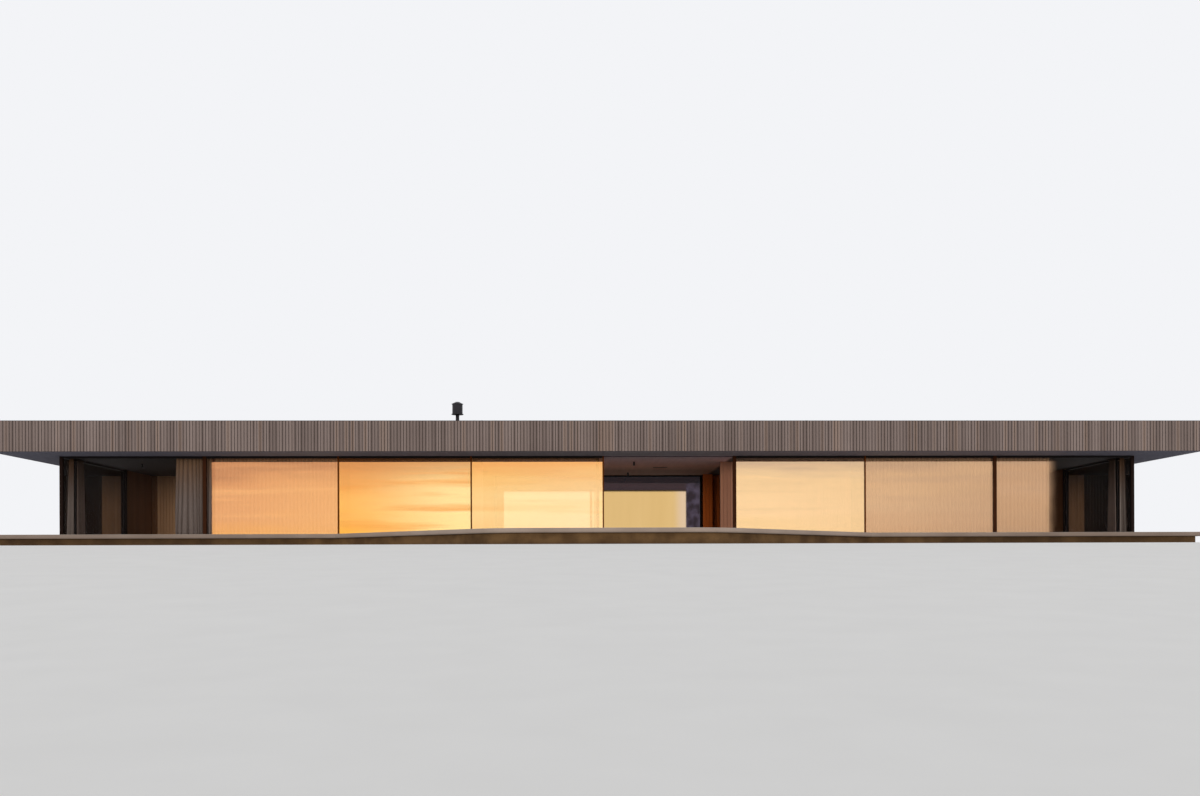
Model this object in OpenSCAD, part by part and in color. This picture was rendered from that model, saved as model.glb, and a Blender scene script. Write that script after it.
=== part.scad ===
// Long single-storey beach house at half of its real size, in millimetres.
// A flat battened roof and a thin floor slab hold a glass wall between them, and the
// terrace steps out in front. +X runs right along the front, +Y to the back, +Z up.
// The origin is the middle of the plan on the underside of the plinth.

/* [Plan] */
// Width of each of the six middle bays of the front glass
bay_w = 2510; // [2200:10:2900]
// Width of the bay at each end of the front
end_bay_w = 2705; // [2400:5:3100]
// Roof edge beyond the side glass
side_overhang = 885; // [500:5:1200]
// Roof edge in front of the front glass
front_overhang = 840; // [500:5:1200]
// Front face of the front glass frame to the front face of the rear wall
room_d = 4235; // [3900:5:5000]
// Roof edge behind the rear wall's front face
rear_overhang = 2240; // [1200:10:3000]

/* [Heights] */
// Plinth from the ground to the underside of the slab
plinth_h = 200; // [120:5:400]
// Thickness of the floor slab
slab_t = 75; // [60:5:120]
// Finished floor to the ceiling
room_h = 1500; // [1350:10:1700]
// Height of the fascia round the roof
fascia_h = 558; // [400:2:700]
// Fascia top above the roof covering
parapet_h = 60; // [30:5:120]

/* [Terrace] */
// How far the terrace comes out in front of the roof edge
terrace_out = 2650; // [1800:10:3200]
// Length of its straight front edge before the corners are rounded
terrace_front_w = 3550; // [2400:10:4600]
// Its length where it meets the house slab
terrace_back_w = 9800; // [8000:10:12000]
// Radius of its two front corners
terrace_r = 1500; // [400:50:1800]
// Plinth face set back under the slab edge
plinth_inset = 120; // [40:5:250]

/* [Roof] */
// Thickness of the fascia, boards and backing together
fascia_t = 36; // [24:2:60]
// Thickness of the ceiling and soffit lining
lining_t = 20; // [12:1:30]
// Thickness of the roof deck with its covering
deck_t = 60; // [40:5:90]
// Width of a roof beam
beam_w = 100; // [60:5:160]
// Width of the metal capping on the fascia
capping_w = 60; // [40:5:100]
// Thickness of the metal capping
capping_t = 6; // [3:1:10]

/* [Glass wall] */
// Depth of the fixed frames, front to back
frame_d = 60; // [40:2:90]
// Width of a slender mullion
mullion_w = 24; // [18:2:60]
// Width of a mullion where two frames meet
wide_mullion_w = 64; // [50:2:100]
// Height of the head bar
head_h = 36; // [15:1:60]
// Height of the sill bar
sill_h = 20; // [12:1:35]
// Width of a stile in the side and rear frames
frame_stile_w = 38; // [24:2:60]
// Thickness of a fixed pane
pane_t = 12; // [8:1:20]
// Rear glass from wall end to wall end
rear_glass_w = 4760; // [3600:10:4900]

/* [Sliding door] */
// Width of the sliding leaf
leaf_w = 2500; // [2100:5:2900]
// Thickness of the sliding leaf
leaf_d = 40; // [30:1:60]
// Width of the leaf's stiles
stile_w = 60; // [40:2:90]
// Height of the leaf's top rail
top_rail_h = 50; // [40:2:80]
// Height of the leaf's bottom rail
bottom_rail_h = 60; // [40:2:120]
// Right edge of the open leaf, to the left of the middle mullion
leaf_back = 75; // [40:5:150]
// Running gap round the leaf
leaf_gap = 5; // [5:0.5:10]
// Width of the floor rail and of the ceiling guide
rail_w = 8; // [6:1:12]
// Height of the floor rail and of the ceiling guide
rail_h = 12; // [10:1:16]

/* [Walls] */
// Thickness of the outer walls
wall_t = 90; // [60:5:140]
// Thickness of the inner walls
inner_wall_t = 70; // [50:5:100]
// Length of the fixed side pane next to the corner
side_pane_l = 480; // [400:5:700]
// Roof edge to the front face of the dark side post
side_post_start = 3600; // [3300:10:3900]
// Length of the dark side post
side_post_l = 60; // [40:5:260]
// Roof edge to the front face of the gallery walls
gallery_start = 1905; // [1700:5:2100]
// Width of the timber piers beside the rear glass of the living room
living_wall_w = 220; // [120:5:600]
// How far these piers stand out from the rear wall
living_wall_l = 275; // [100:5:1900]
// Thickness of the floor finish
finish_t = 10; // [6:1:20]

/* [Curtains] */
// Depth of the folds of a curtain
fold_d = 70; // [40:5:90]
// Frame to the near side of the curtain
curtain_clear = 30; // [20:5:60]
// Width of the curtain track
track_w = 14; // [10:1:20]
// Height of the curtain track
track_h = 12; // [8:1:20]
// Bottom hem above the floor
hem_clear = 8; // [4:1:20]
// Width of the gathered curtains at the front corners
corner_curtain_w = 130; // [80:5:200]
// Length of the gathered curtains along the sides
side_curtain_l = 235; // [180:5:500]
// Width of the drawn curtain beside the wide left mullion
drawn_curtain_w = 710; // [400:5:800]
// How much of it shows past that mullion
drawn_curtain_past = 115; // [60:5:200]
// Width of the sheer curtain in the right end bay
end_sheer_w = 1080; // [700:10:1500]

/* [Fittings] */
// Diameter of a ceiling spot
spot_d = 40; // [30:2:60]
// Height of a ceiling spot
spot_h = 75; // [50:5:100]
// Living room spots, to the right of the middle
spot_x = 650; // [300:10:1800]
// Near spot behind the front glass
near_spot_y = 1110; // [500:10:1500]
// Far spot behind the front glass
far_spot_y = 3560; // [2900:10:3700]
// Spot of the left room, to the left of the middle
left_spot_x = 9300; // [8000:10:9800]
// Spot of the left room behind the front glass
left_spot_y = 1510; // [500:10:3500]
// Length of the air slot in the ceiling
slot_l = 300; // [200:10:500]
// Width of the air slot
slot_w = 40; // [20:2:80]
// Middle of the air slot, to the right of the middle of the house
slot_x = 1270; // [400:10:2000]
// Air slot behind the front glass
slot_y = 2260; // [1700:10:2700]
// Diameter of the flue
flue_d = 75; // [60:1:120]
// Diameter of the flue's cowl
cowl_d = 250; // [160:5:300]
// Height of the flue's cowl
cowl_h = 265; // [160:5:300]
// Cowl's underside above the fascia top
cowl_clear = 540; // [200:10:700]
// Flue's distance to the left of the middle
flue_x = 3000; // [2700:10:3400]
// Flue's distance behind the front edge of the roof
flue_back = 3000; // [2000:10:4000]

/* [Hidden] */

// Middle bays on each side of the centre mullion
half_bays = 3;
// Seat left under or over a piece that rests in a groove or hangs from a track
seat = 0.3;
// Joint left between the lengths of metal capping
capping_joint = 1;
// Facets of the terrace's rounded corners and of the round fittings
corner_steps = 12;
round_fn = 48;

glass_half = half_bays * bay_w + end_bay_w;
// Inner face of the side frames, and of the side walls in line with them
wall_in = glass_half - frame_d;
roof_half = glass_half + side_overhang;
roof_depth = front_overhang + room_d + rear_overhang;

front_y = -(terrace_out + roof_depth) / 2 + terrace_out;
back_y = front_y + roof_depth;
glass_y = front_y + front_overhang;
rear_y = glass_y + room_d;

floor_z = plinth_h + slab_t;
ceiling_z = floor_z + room_h;
roof_z = ceiling_z + fascia_h;
deck_z = roof_z - parapet_h - deck_t;
track_z = ceiling_z - track_h;

frame_back_y = glass_y + frame_d;
pane_y = glass_y + (frame_d - pane_t) / 2;
leaf_y = frame_back_y + leaf_gap;
leaf_x = -leaf_back - leaf_w;
leaf_z = floor_z + leaf_gap;
leaf_h = room_h - 2 * leaf_gap;
groove_w = rail_w + 2 * leaf_gap;
groove_y = leaf_y + (leaf_d - groove_w) / 2;
rail_y = leaf_y + (leaf_d - rail_w) / 2;
rail_x0 = leaf_x;
rail_x1 = bay_w + wide_mullion_w / 2;

curtain_y = frame_back_y + curtain_clear;
track_y = curtain_y + (fold_d - track_w) / 2;
curtain_x = wall_in - curtain_clear - fold_d;
track_x = curtain_x + (fold_d - track_w) / 2;
curtain_h = room_h - track_h - seat - hem_clear;
side_stile_y = glass_y + frame_d + side_pane_l;
side_post_y = front_y + side_post_start;
side_frame_end = side_post_y - frame_stile_w;
// Ends along Y of the short pane beside the corner and of the long pane up to the dark post
side_spans = [[frame_back_y, side_stile_y], [side_stile_y + frame_stile_w, side_frame_end]];
rear_pane_w = rear_glass_w / 2 - 1.5 * frame_stile_w;
rear_panes_x = [-rear_glass_w / 2 + frame_stile_w, frame_stile_w / 2];

mullion_places = [for (i = [-half_bays : half_bays]) i * bay_w];
function is_wide(i) = i == -half_bays || i == 1 || i == half_bays;
function mullion_half(i) = (is_wide(i) ? wide_mullion_w : mullion_w) / 2;
// Left and right end of the glass in bay i, counted from the left end bay at -half_bays - 1
function bay_x0(i) = i < -half_bays ? -glass_half + frame_d : i * bay_w + mullion_half(i);
function bay_x1(i) = i == half_bays ? glass_half - frame_d : (i + 1) * bay_w - mullion_half(i + 1);
open_bay = 0;
glazed_bays = [for (i = [-half_bays - 1 : half_bays]) if (i != open_bay) i];

terrace_turn = atan(terrace_out / ((terrace_back_w - terrace_front_w) / 2));
function terrace_side(inset) = inset * tan(terrace_turn / 2);
// Right half of the terrace's outline, from the house out to the front, set in by inset
function terrace_half(inset) =
    let (r = terrace_r - inset,
         cx = terrace_front_w / 2 - terrace_side(inset) - r * tan(terrace_turn / 2),
         cy = -terrace_out + inset + r)
    concat(
        [for (k = [0 : corner_steps])
            let (a = -90 + terrace_turn * k / corner_steps)
            [cx + r * cos(a), cy + r * sin(a)]],
        [[terrace_back_w / 2 - terrace_side(inset), inset]]);
function mirrored(points) = [for (k = [len(points) - 1 : -1 : 0]) [-points[k][0], points[k][1]]];

// Block from one corner to the opposite one
module block(a, b) {
    translate(a)
        cube(b - a);
}

module mirror_if(side) {
    if (side < 0)
        mirror([1, 0, 0]) children();
    else
        children();
}

module terrace_prism(inset, z, h) {
    translate([0, front_y, z])
        linear_extrude(h)
            polygon(concat(terrace_half(inset), mirrored(terrace_half(inset))));
}

module house_plinth() {
    color("#7c6240")
        block([-roof_half + plinth_inset, front_y + plinth_inset, 0],
              [roof_half - plinth_inset, back_y - plinth_inset, plinth_h]);
}

module terrace_plinth() {
    color("#7c6240")
        terrace_prism(plinth_inset, 0, plinth_h);
}

module house_slab() {
    color("#a9a093")
        difference() {
            block([-roof_half, front_y, plinth_h], [roof_half, back_y, floor_z]);
            block([-wall_in, frame_back_y, floor_z - finish_t], [wall_in, rear_y, floor_z + finish_t]);
        }
}

module terrace_slab() {
    color("#a9a093")
        terrace_prism(0, plinth_h, slab_t);
}

module interior_floor() {
    color("#8a7a66")
        block([-wall_in, frame_back_y, floor_z - finish_t], [wall_in, rear_y, floor_z]);
}

module ceiling_lining() {
    color("#4a4550")
        block([-roof_half + fascia_t, front_y + fascia_t, ceiling_z],
              [roof_half - fascia_t, back_y - fascia_t, ceiling_z + lining_t]);
}

// Beams from front to back on the line of each mullion and each side wall
module roof_beams() {
    places = concat([-glass_half + beam_w / 2], mullion_places, [glass_half - beam_w / 2]);
    color("#5a5048")
        for (x = places)
            block([x - beam_w / 2, front_y + fascia_t, ceiling_z + lining_t],
                  [x + beam_w / 2, back_y - fascia_t, deck_z]);
}

module roof_deck() {
    color("#55565a")
        block([-roof_half + fascia_t, front_y + fascia_t, deck_z],
              [roof_half - fascia_t, back_y - fascia_t, deck_z + deck_t]);
}

module long_fascia(y) {
    color("#75685c")
        block([-roof_half, y, ceiling_z], [roof_half, y + fascia_t, roof_z - capping_t]);
}

module fascia_front() {
    long_fascia(front_y);
}

module fascia_back() {
    long_fascia(back_y - fascia_t);
}

module end_fascia() {
    color("#75685c")
        block([roof_half - fascia_t, front_y + fascia_t, ceiling_z],
              [roof_half, back_y - fascia_t, roof_z - capping_t]);
}

module fascia_left() {
    mirror_if(-1) end_fascia();
}

module fascia_right() {
    mirror_if(1) end_fascia();
}

module parapet_capping() {
    z = roof_z - capping_t;
    inner = capping_w + capping_joint;
    color("#3c3a3c") {
        for (y = [front_y, back_y - capping_w])
            block([-roof_half, y, z], [roof_half, y + capping_w, roof_z]);
        for (x = [-roof_half, roof_half - capping_w])
            block([x, front_y + inner, z], [x + capping_w, back_y - inner, roof_z]);
    }
}

// Head and sill bar of each glazed bay of the front
module front_rails() {
    color("#1f1a18")
        for (i = glazed_bays) {
            block([bay_x0(i), glass_y, floor_z], [bay_x1(i), frame_back_y, floor_z + sill_h]);
            block([bay_x0(i), glass_y, ceiling_z - head_h], [bay_x1(i), frame_back_y, ceiling_z]);
        }
}

// Mullions from floor to ceiling, and the two corner posts
module front_mullions() {
    color("#1f1a18") {
        for (i = [-half_bays : half_bays])
            block([i * bay_w - mullion_half(i), glass_y, floor_z],
                  [i * bay_w + mullion_half(i), frame_back_y, ceiling_z]);
        for (x = [-glass_half, glass_half - frame_d])
            block([x, glass_y, floor_z], [x + frame_d, frame_back_y, ceiling_z]);
    }
}

module front_glass() {
    color("#c98a3c", 0.6)
        for (i = glazed_bays)
            block([bay_x0(i), pane_y, floor_z + sill_h],
                  [bay_x1(i), pane_y + pane_t, ceiling_z - head_h]);
}

// Stile beside the corner pane, stile at the dark post, and the bars between them
module side_frame() {
    color("#1f1a18") {
        for (y = [side_stile_y, side_frame_end])
            block([wall_in, y, floor_z], [glass_half, y + frame_stile_w, ceiling_z]);
        for (span = side_spans) {
            block([wall_in, span[0], floor_z], [glass_half, span[1], floor_z + sill_h]);
            block([wall_in, span[0], ceiling_z - head_h], [glass_half, span[1], ceiling_z]);
        }
    }
}

module side_glass() {
    x0 = glass_half - (frame_d + pane_t) / 2;
    color("#3a3f42", 0.5)
        for (span = side_spans)
            block([x0, span[0], floor_z + sill_h], [x0 + pane_t, span[1], ceiling_z - head_h]);
}

// Timber wall behind the dark post, with its inner face in line with the frames
module side_wall() {
    color("#6b4a32")
        block([wall_in, side_post_y + side_post_l, floor_z], [wall_in + wall_t, rear_y, ceiling_z]);
}

module side_post() {
    color("#1f1a18")
        block([glass_half - wall_t, side_post_y, floor_z],
              [glass_half, side_post_y + side_post_l, ceiling_z]);
}

module left_side_frame() {
    mirror_if(-1) side_frame();
}

module left_side_glass() {
    mirror_if(-1) side_glass();
}

module left_side_wall() {
    mirror_if(-1) side_wall();
}

module left_side_post() {
    mirror_if(-1) side_post();
}

module right_side_frame() {
    mirror_if(1) side_frame();
}

module right_side_glass() {
    mirror_if(1) side_glass();
}

module right_side_wall() {
    mirror_if(1) side_wall();
}

module right_side_post() {
    mirror_if(1) side_post();
}

module rear_wall() {
    color("#75685c")
        block([rear_glass_w / 2, rear_y, floor_z], [wall_in + wall_t, rear_y + wall_t, ceiling_z]);
}

module rear_wall_left() {
    mirror_if(-1) rear_wall();
}

module rear_wall_right() {
    mirror_if(1) rear_wall();
}

// Two end stiles, the middle mullion, and a head and sill bar on each side of it
module rear_frame() {
    w = rear_glass_w / 2;
    color("#1f1a18") {
        for (x = [-w, -frame_stile_w / 2, w - frame_stile_w])
            block([x, rear_y, floor_z], [x + frame_stile_w, rear_y + frame_d, ceiling_z]);
        for (x = rear_panes_x) {
            block([x, rear_y, floor_z], [x + rear_pane_w, rear_y + frame_d, floor_z + sill_h]);
            block([x, rear_y, ceiling_z - head_h], [x + rear_pane_w, rear_y + frame_d, ceiling_z]);
        }
    }
}

module rear_glass() {
    y = rear_y + (frame_d - pane_t) / 2;
    color("#c98a3c", 0.5)
        for (x = rear_panes_x)
            block([x, y, floor_z + sill_h], [x + rear_pane_w, y + pane_t, ceiling_z - head_h]);
}

// Timber wall behind the glass of the second bay from the middle
module gallery_wall() {
    color("#7a4a2c")
        block([rear_glass_w / 2, front_y + gallery_start, floor_z],
              [2 * bay_w, front_y + gallery_start + inner_wall_t, ceiling_z]);
}

module gallery_wall_left() {
    mirror_if(-1) gallery_wall();
}

module gallery_wall_right() {
    mirror_if(1) gallery_wall();
}

// Timber pier that stands out from the rear wall beside the rear glass
module living_wall() {
    color("#9a5226")
        block([rear_glass_w / 2, rear_y - living_wall_l, floor_z],
              [rear_glass_w / 2 + living_wall_w, rear_y, ceiling_z]);
}

module living_wall_left() {
    mirror_if(-1) living_wall();
}

module living_wall_right() {
    mirror_if(1) living_wall();
}

module door_floor_rail() {
    color("#2a2522")
        block([rail_x0, rail_y, floor_z], [rail_x1, rail_y + rail_w, floor_z + rail_h]);
}

module door_head_guide() {
    color("#2a2522")
        block([rail_x0, rail_y, ceiling_z - rail_h], [rail_x1, rail_y + rail_w, ceiling_z]);
}

// Open leaf, stacked behind the bay to the left of the open one. Its bottom rail rides on the
// floor rail and its top rail is steered by the ceiling guide, both in grooves.
module sliding_door_frame() {
    past = leaf_gap;
    color("#1f1a18")
        difference() {
            block([leaf_x, leaf_y, leaf_z], [leaf_x + leaf_w, leaf_y + leaf_d, leaf_z + leaf_h]);
            block([leaf_x + stile_w, leaf_y - past, leaf_z + bottom_rail_h],
                  [leaf_x + leaf_w - stile_w, leaf_y + leaf_d + past, leaf_z + leaf_h - top_rail_h]);
            block([leaf_x - past, groove_y, leaf_z - past],
                  [leaf_x + leaf_w + past, groove_y + groove_w, floor_z + rail_h + seat]);
            block([leaf_x - past, groove_y, ceiling_z - rail_h - leaf_gap],
                  [leaf_x + leaf_w + past, groove_y + groove_w, ceiling_z]);
        }
}

module sliding_door_glass() {
    y = leaf_y + (leaf_d - pane_t) / 2;
    color("#c98a3c", 0.5)
        block([leaf_x + stile_w, y, leaf_z + bottom_rail_h],
              [leaf_x + leaf_w - stile_w, y + pane_t, leaf_z + leaf_h - top_rail_h]);
}

// Ceiling tracks of both wings: one along the front glass and one along the side glass
module curtain_tracks() {
    color("#1f1a18")
        for (side = [-1, 1])
            mirror_if(side) {
                block([bay_x0(2), track_y, track_z], [curtain_x + fold_d, track_y + track_w, ceiling_z]);
                block([track_x, curtain_y + fold_d, track_z],
                      [track_x + track_w, side_frame_end, ceiling_z]);
            }
}

// Closed solid of a hanging curtain, from its hem up to its track
module curtain(x, y, w, d) {
    block([x, y, floor_z + hem_clear], [x + w, y + d, floor_z + hem_clear + curtain_h]);
}

module corner_curtains() {
    curtain(curtain_x + fold_d - corner_curtain_w, curtain_y, corner_curtain_w, fold_d);
    curtain(curtain_x, side_stile_y + frame_stile_w, fold_d, side_curtain_l);
}

module linen_curtains_left() {
    x1 = -half_bays * bay_w + drawn_curtain_past;
    color("#8d8176") {
        mirror_if(-1) corner_curtains();
        curtain(x1 - drawn_curtain_w, curtain_y, drawn_curtain_w, fold_d);
    }
}

module linen_curtains_right() {
    color("#8d8176")
        mirror_if(1) corner_curtains();
}

module sheer_left() {
    x0 = -half_bays * bay_w + drawn_curtain_past + curtain_clear;
    color("#cdb694")
        curtain(x0, curtain_y, bay_x1(-half_bays) - x0, fold_d);
}

module sheer_right() {
    color("#cdb694")
        curtain(bay_x0(2), curtain_y, bay_x1(2) - bay_x0(2), fold_d);
}

module sheer_right_end() {
    color("#cdb694")
        curtain(bay_x0(half_bays), curtain_y, end_sheer_w, fold_d);
}

// Two ceiling spots and the air slot over the living room, and a spot over the left room
module ceiling_fittings() {
    slot_t = 6;
    color("#141214") {
        for (p = [[spot_x, near_spot_y], [spot_x, far_spot_y], [-left_spot_x, left_spot_y]])
            translate([p[0], glass_y + p[1], ceiling_z - spot_h])
                cylinder(h = spot_h, d = spot_d, $fn = round_fn);
        block([slot_x - slot_l / 2, glass_y + slot_y, ceiling_z - slot_t],
              [slot_x + slot_l / 2, glass_y + slot_y + slot_w, ceiling_z]);
    }
}

// Flue pipe with a sloping flashing where it leaves the roof
module flue_stem() {
    flashing_d = 2.4 * flue_d;
    flashing_h = 60;
    z = deck_z + deck_t;
    color("#26242a")
        translate([-flue_x, front_y + flue_back, z]) {
            cylinder(h = roof_z + cowl_clear - z, d = flue_d, $fn = round_fn);
            cylinder(h = flashing_h, d1 = flashing_d, d2 = flue_d, $fn = round_fn);
        }
}

// Drum with a flat base plate and a shallow cone on top
module flue_cowl() {
    plate_t = 12;
    cone_h = 45;
    drum_d = 0.86 * cowl_d;
    cone_top_d = 0.3 * cowl_d;
    color("#26242a")
        translate([-flue_x, front_y + flue_back, roof_z + cowl_clear]) {
            cylinder(h = plate_t, d = cowl_d, $fn = round_fn);
            cylinder(h = cowl_h - cone_h, d = drum_d, $fn = round_fn);
            translate([0, 0, cowl_h - cone_h])
                cylinder(h = cone_h, d1 = cowl_d, d2 = cone_top_d, $fn = round_fn);
        }
}

house_plinth();
terrace_plinth();
house_slab();
terrace_slab();
interior_floor();
ceiling_lining();
roof_beams();
roof_deck();
fascia_front();
fascia_back();
fascia_left();
fascia_right();
parapet_capping();
front_rails();
front_mullions();
front_glass();
left_side_frame();
left_side_glass();
right_side_frame();
right_side_glass();
left_side_wall();
right_side_wall();
left_side_post();
right_side_post();
rear_wall_left();
rear_wall_right();
rear_frame();
rear_glass();
gallery_wall_left();
gallery_wall_right();
living_wall_left();
living_wall_right();
door_floor_rail();
door_head_guide();
sliding_door_frame();
sliding_door_glass();
curtain_tracks();
linen_curtains_left();
linen_curtains_right();
sheer_left();
sheer_right();
sheer_right_end();
ceiling_fittings();
flue_stem();
flue_cowl();
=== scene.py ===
# Beach house at half size: a long glass front between a thin concrete floor and a flat roof with a
# fascia of upright timber battens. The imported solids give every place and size. This script dresses
# them from the ground up, in metres, with +X to the right along the front and +Y to the back.
import math

import bpy
import numpy as np
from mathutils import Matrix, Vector


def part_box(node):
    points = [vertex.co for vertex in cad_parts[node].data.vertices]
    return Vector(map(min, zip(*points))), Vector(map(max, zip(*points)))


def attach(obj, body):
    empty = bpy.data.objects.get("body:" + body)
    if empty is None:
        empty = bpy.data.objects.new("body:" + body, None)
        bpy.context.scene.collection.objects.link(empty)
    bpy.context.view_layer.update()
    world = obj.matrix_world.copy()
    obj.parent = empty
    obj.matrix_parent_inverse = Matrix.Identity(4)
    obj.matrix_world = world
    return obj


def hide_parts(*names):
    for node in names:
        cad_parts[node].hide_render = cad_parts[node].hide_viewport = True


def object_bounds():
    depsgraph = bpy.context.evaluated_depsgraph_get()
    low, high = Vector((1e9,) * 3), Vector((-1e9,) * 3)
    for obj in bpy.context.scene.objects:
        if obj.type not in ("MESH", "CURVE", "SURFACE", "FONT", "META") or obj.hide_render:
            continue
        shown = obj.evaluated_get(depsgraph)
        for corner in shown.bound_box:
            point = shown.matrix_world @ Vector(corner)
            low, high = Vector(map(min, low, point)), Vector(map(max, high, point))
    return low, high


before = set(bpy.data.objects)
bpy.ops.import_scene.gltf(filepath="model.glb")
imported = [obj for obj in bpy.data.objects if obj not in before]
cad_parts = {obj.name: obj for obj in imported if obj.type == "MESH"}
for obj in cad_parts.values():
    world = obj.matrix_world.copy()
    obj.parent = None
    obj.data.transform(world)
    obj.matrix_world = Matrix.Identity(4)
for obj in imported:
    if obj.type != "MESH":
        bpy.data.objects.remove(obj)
cad_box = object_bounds()
bpy.ops.object.select_all(action="DESELECT")


# Camera
# The photograph's viewpoint, a little below floor level and left of the middle. The lens and the
# upward shift of the picture were found from the edges of the roof, glass and floor.
roof_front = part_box("fascia_front")[0].y
floor_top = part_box("interior_floor")[1].z
eye = Vector((-0.545, roof_front - 19.39, floor_top - 0.647))
turn_right = 0.0236
roll = 0.0033
focal_px = 1063
horizon_below_middle_px = 170.7
picture_w_px = 1200
sensor_mm = 36

bpy.ops.object.camera_add(location=eye, rotation=(math.pi / 2, roll, -turn_right))
camera = bpy.context.object
camera.data.sensor_width = sensor_mm
camera.data.lens = sensor_mm * focal_px / picture_w_px
camera.data.shift_y = horizon_below_middle_px / picture_w_px
camera.data.clip_end = 400
bpy.context.scene.camera = camera


# Studio floor, backdrop and light
# A plain pale ground, level round the house, that falls away in front, where the viewpoint is lower.
# Soft light comes from all round, and three wide warm lamps just above the horizon in front reach deep
# under the roof. Mirrors and glass see the pale backdrop.
class Socket:
    """One output of a shader node. A sum written with it adds the Math nodes for that sum."""

    def __init__(self, tree, output):
        self.tree = tree
        self.output = output

    def node(self, kind, settings=(), inputs=(), output=0):
        """Adds a node: its settings first, then the values or links of its sockets."""
        made = self.tree.nodes.new("ShaderNode" + kind)
        for name, value in dict(settings).items():
            if name == "stops":
                ramp = made.color_ramp.elements
                ramp.remove(ramp[1])
                ramp[0].position, ramp[0].color = value[0]
                for place, colour in value[1:]:
                    ramp.new(place).color = colour
            else:
                setattr(made, name, value)
        for name, value in dict(inputs).items():
            if isinstance(value, Socket):
                self.tree.links.new(value.output, made.inputs[name])
            else:
                made.inputs[name].default_value = value
        return Socket(self.tree, made.outputs[output])

    def math(self, operation, a, b=0.0, c=0.0):
        return self.node("Math", {"operation": operation}, {0: a, 1: b, 2: c})

    def __add__(self, other):
        return self.math("ADD", self, other)

    def __sub__(self, other):
        return self.math("SUBTRACT", self, other)

    def __mul__(self, other):
        return self.math("MULTIPLY", self, other)

    def __truediv__(self, other):
        return self.math("DIVIDE", self, other)

    def __rsub__(self, other):
        return self.math("SUBTRACT", other, self)

    __radd__ = __add__
    __rmul__ = __mul__

    def floor(self):
        return self.math("FLOOR", self)

    def away(self):
        """How far this socket is from 0."""
        return self.math("ABSOLUTE", self)

    def larger(self, other):
        return self.math("MAXIMUM", self, other)

    def near_whole(self, reach):
        """1 within reach of a whole number, 0 elsewhere."""
        away = self.math("PINGPONG", self + 0.5, 0.5)
        return (0.5 - away).step(reach, reach * 0.5)

    def mix(self, low, high):
        """The colour low where this socket is 0 and the colour high where it is 1."""
        return self.node("Mix", {"data_type": "RGBA"}, {0: self, 6: low, 7: high}, output=2)

    def step(self, low, high):
        """0 at low, 1 at high and smooth between."""
        return self.node("MapRange", {"interpolation_type": "SMOOTHSTEP"}, {0: self, 1: low, 2: high})


def rgb(red, green, blue):
    """A colour as it shows on a screen, 0 to 255, in the linear values that shaders take."""
    linear = [((c / 255 + 0.055) / 1.055) ** 2.4 if c > 10 else c / 3295 for c in (red, green, blue)]
    return (*linear, 1)


class Finish:
    """A new material: its Principled shader, and the place on the surface as x, y and z."""

    def __init__(self, name, roughness=0.6, metallic=0.0, shine=0.5):
        self.material = bpy.data.materials.new(name)
        self.material.use_nodes = True
        self.tree = self.material.node_tree
        self.shader = self.tree.nodes["Principled BSDF"]
        self.set("Roughness", roughness)
        self.set("Metallic", metallic)
        self.set("Specular IOR Level", shine)
        self.place = Socket(self.tree, self.tree.nodes.new("ShaderNodeTexCoord").outputs["Object"])
        self.x, self.y, self.z = (
            self.place.node("SeparateXYZ", {}, {0: self.place}, output=axis) for axis in range(3)
        )

    def set(self, socket_name, value):
        """Gives a shader socket one number or colour."""
        self.shader.inputs[socket_name].default_value = value

    def feed(self, socket_name, value):
        """Links a shader socket to something that changes over the surface."""
        self.tree.links.new(value.output, self.shader.inputs[socket_name])

    def noise(self, scale, stretch=(1, 1, 1), detail=3.0):
        """Noise from 0 to 1 with about scale blotches a metre, squeezed along each axis by stretch."""
        place = self.place.node("Mapping", {}, {0: self.place, "Scale": stretch})
        return self.place.node("TexNoise", {}, {"Vector": place, "Scale": scale, "Detail": detail})

    def chance(self, number):
        """A random value from 0 to 1 for each whole number."""
        return self.place.node("TexWhiteNoise", {"noise_dimensions": "1D"}, {"W": number})

    def bump(self, height, depth):
        """Raises the surface by depth metres where height is 1."""
        self.feed("Normal", self.place.node("Bump", {}, {"Height": height, "Distance": depth}))


ground_half = 150
crest_y = cad_box[0][1] - 0.55
ground_fall = 0.072
foot_y = eye.y - 4
bend = 1.5

bpy.ops.mesh.primitive_grid_add(x_subdivisions=4, y_subdivisions=1200, size=2 * ground_half)
ground = bpy.context.object
ground.name = "ground"
for vertex in ground.data.vertices:
    past = crest_y - max(vertex.co.y, foot_y)
    eased = past * past / (2 * bend) if past < bend else past - bend / 2
    vertex.co.z = -ground_fall * eased if past > 0 else 0.0
pale = Finish("pale_ground", roughness=0.9)
pale.feed("Base Color", pale.noise(2.5, detail=2).mix(rgb(204, 202, 199), rgb(212, 210, 207)))
seen_by_camera = pale.place.node("LightPath")
pale.feed("Emission Color", seen_by_camera.mix((0, 0, 0, 1), rgb(212, 211, 210)))
pale.set("Emission Strength", 0.3)
ground.data.materials.append(pale.material)
bpy.ops.object.shade_smooth()

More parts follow.
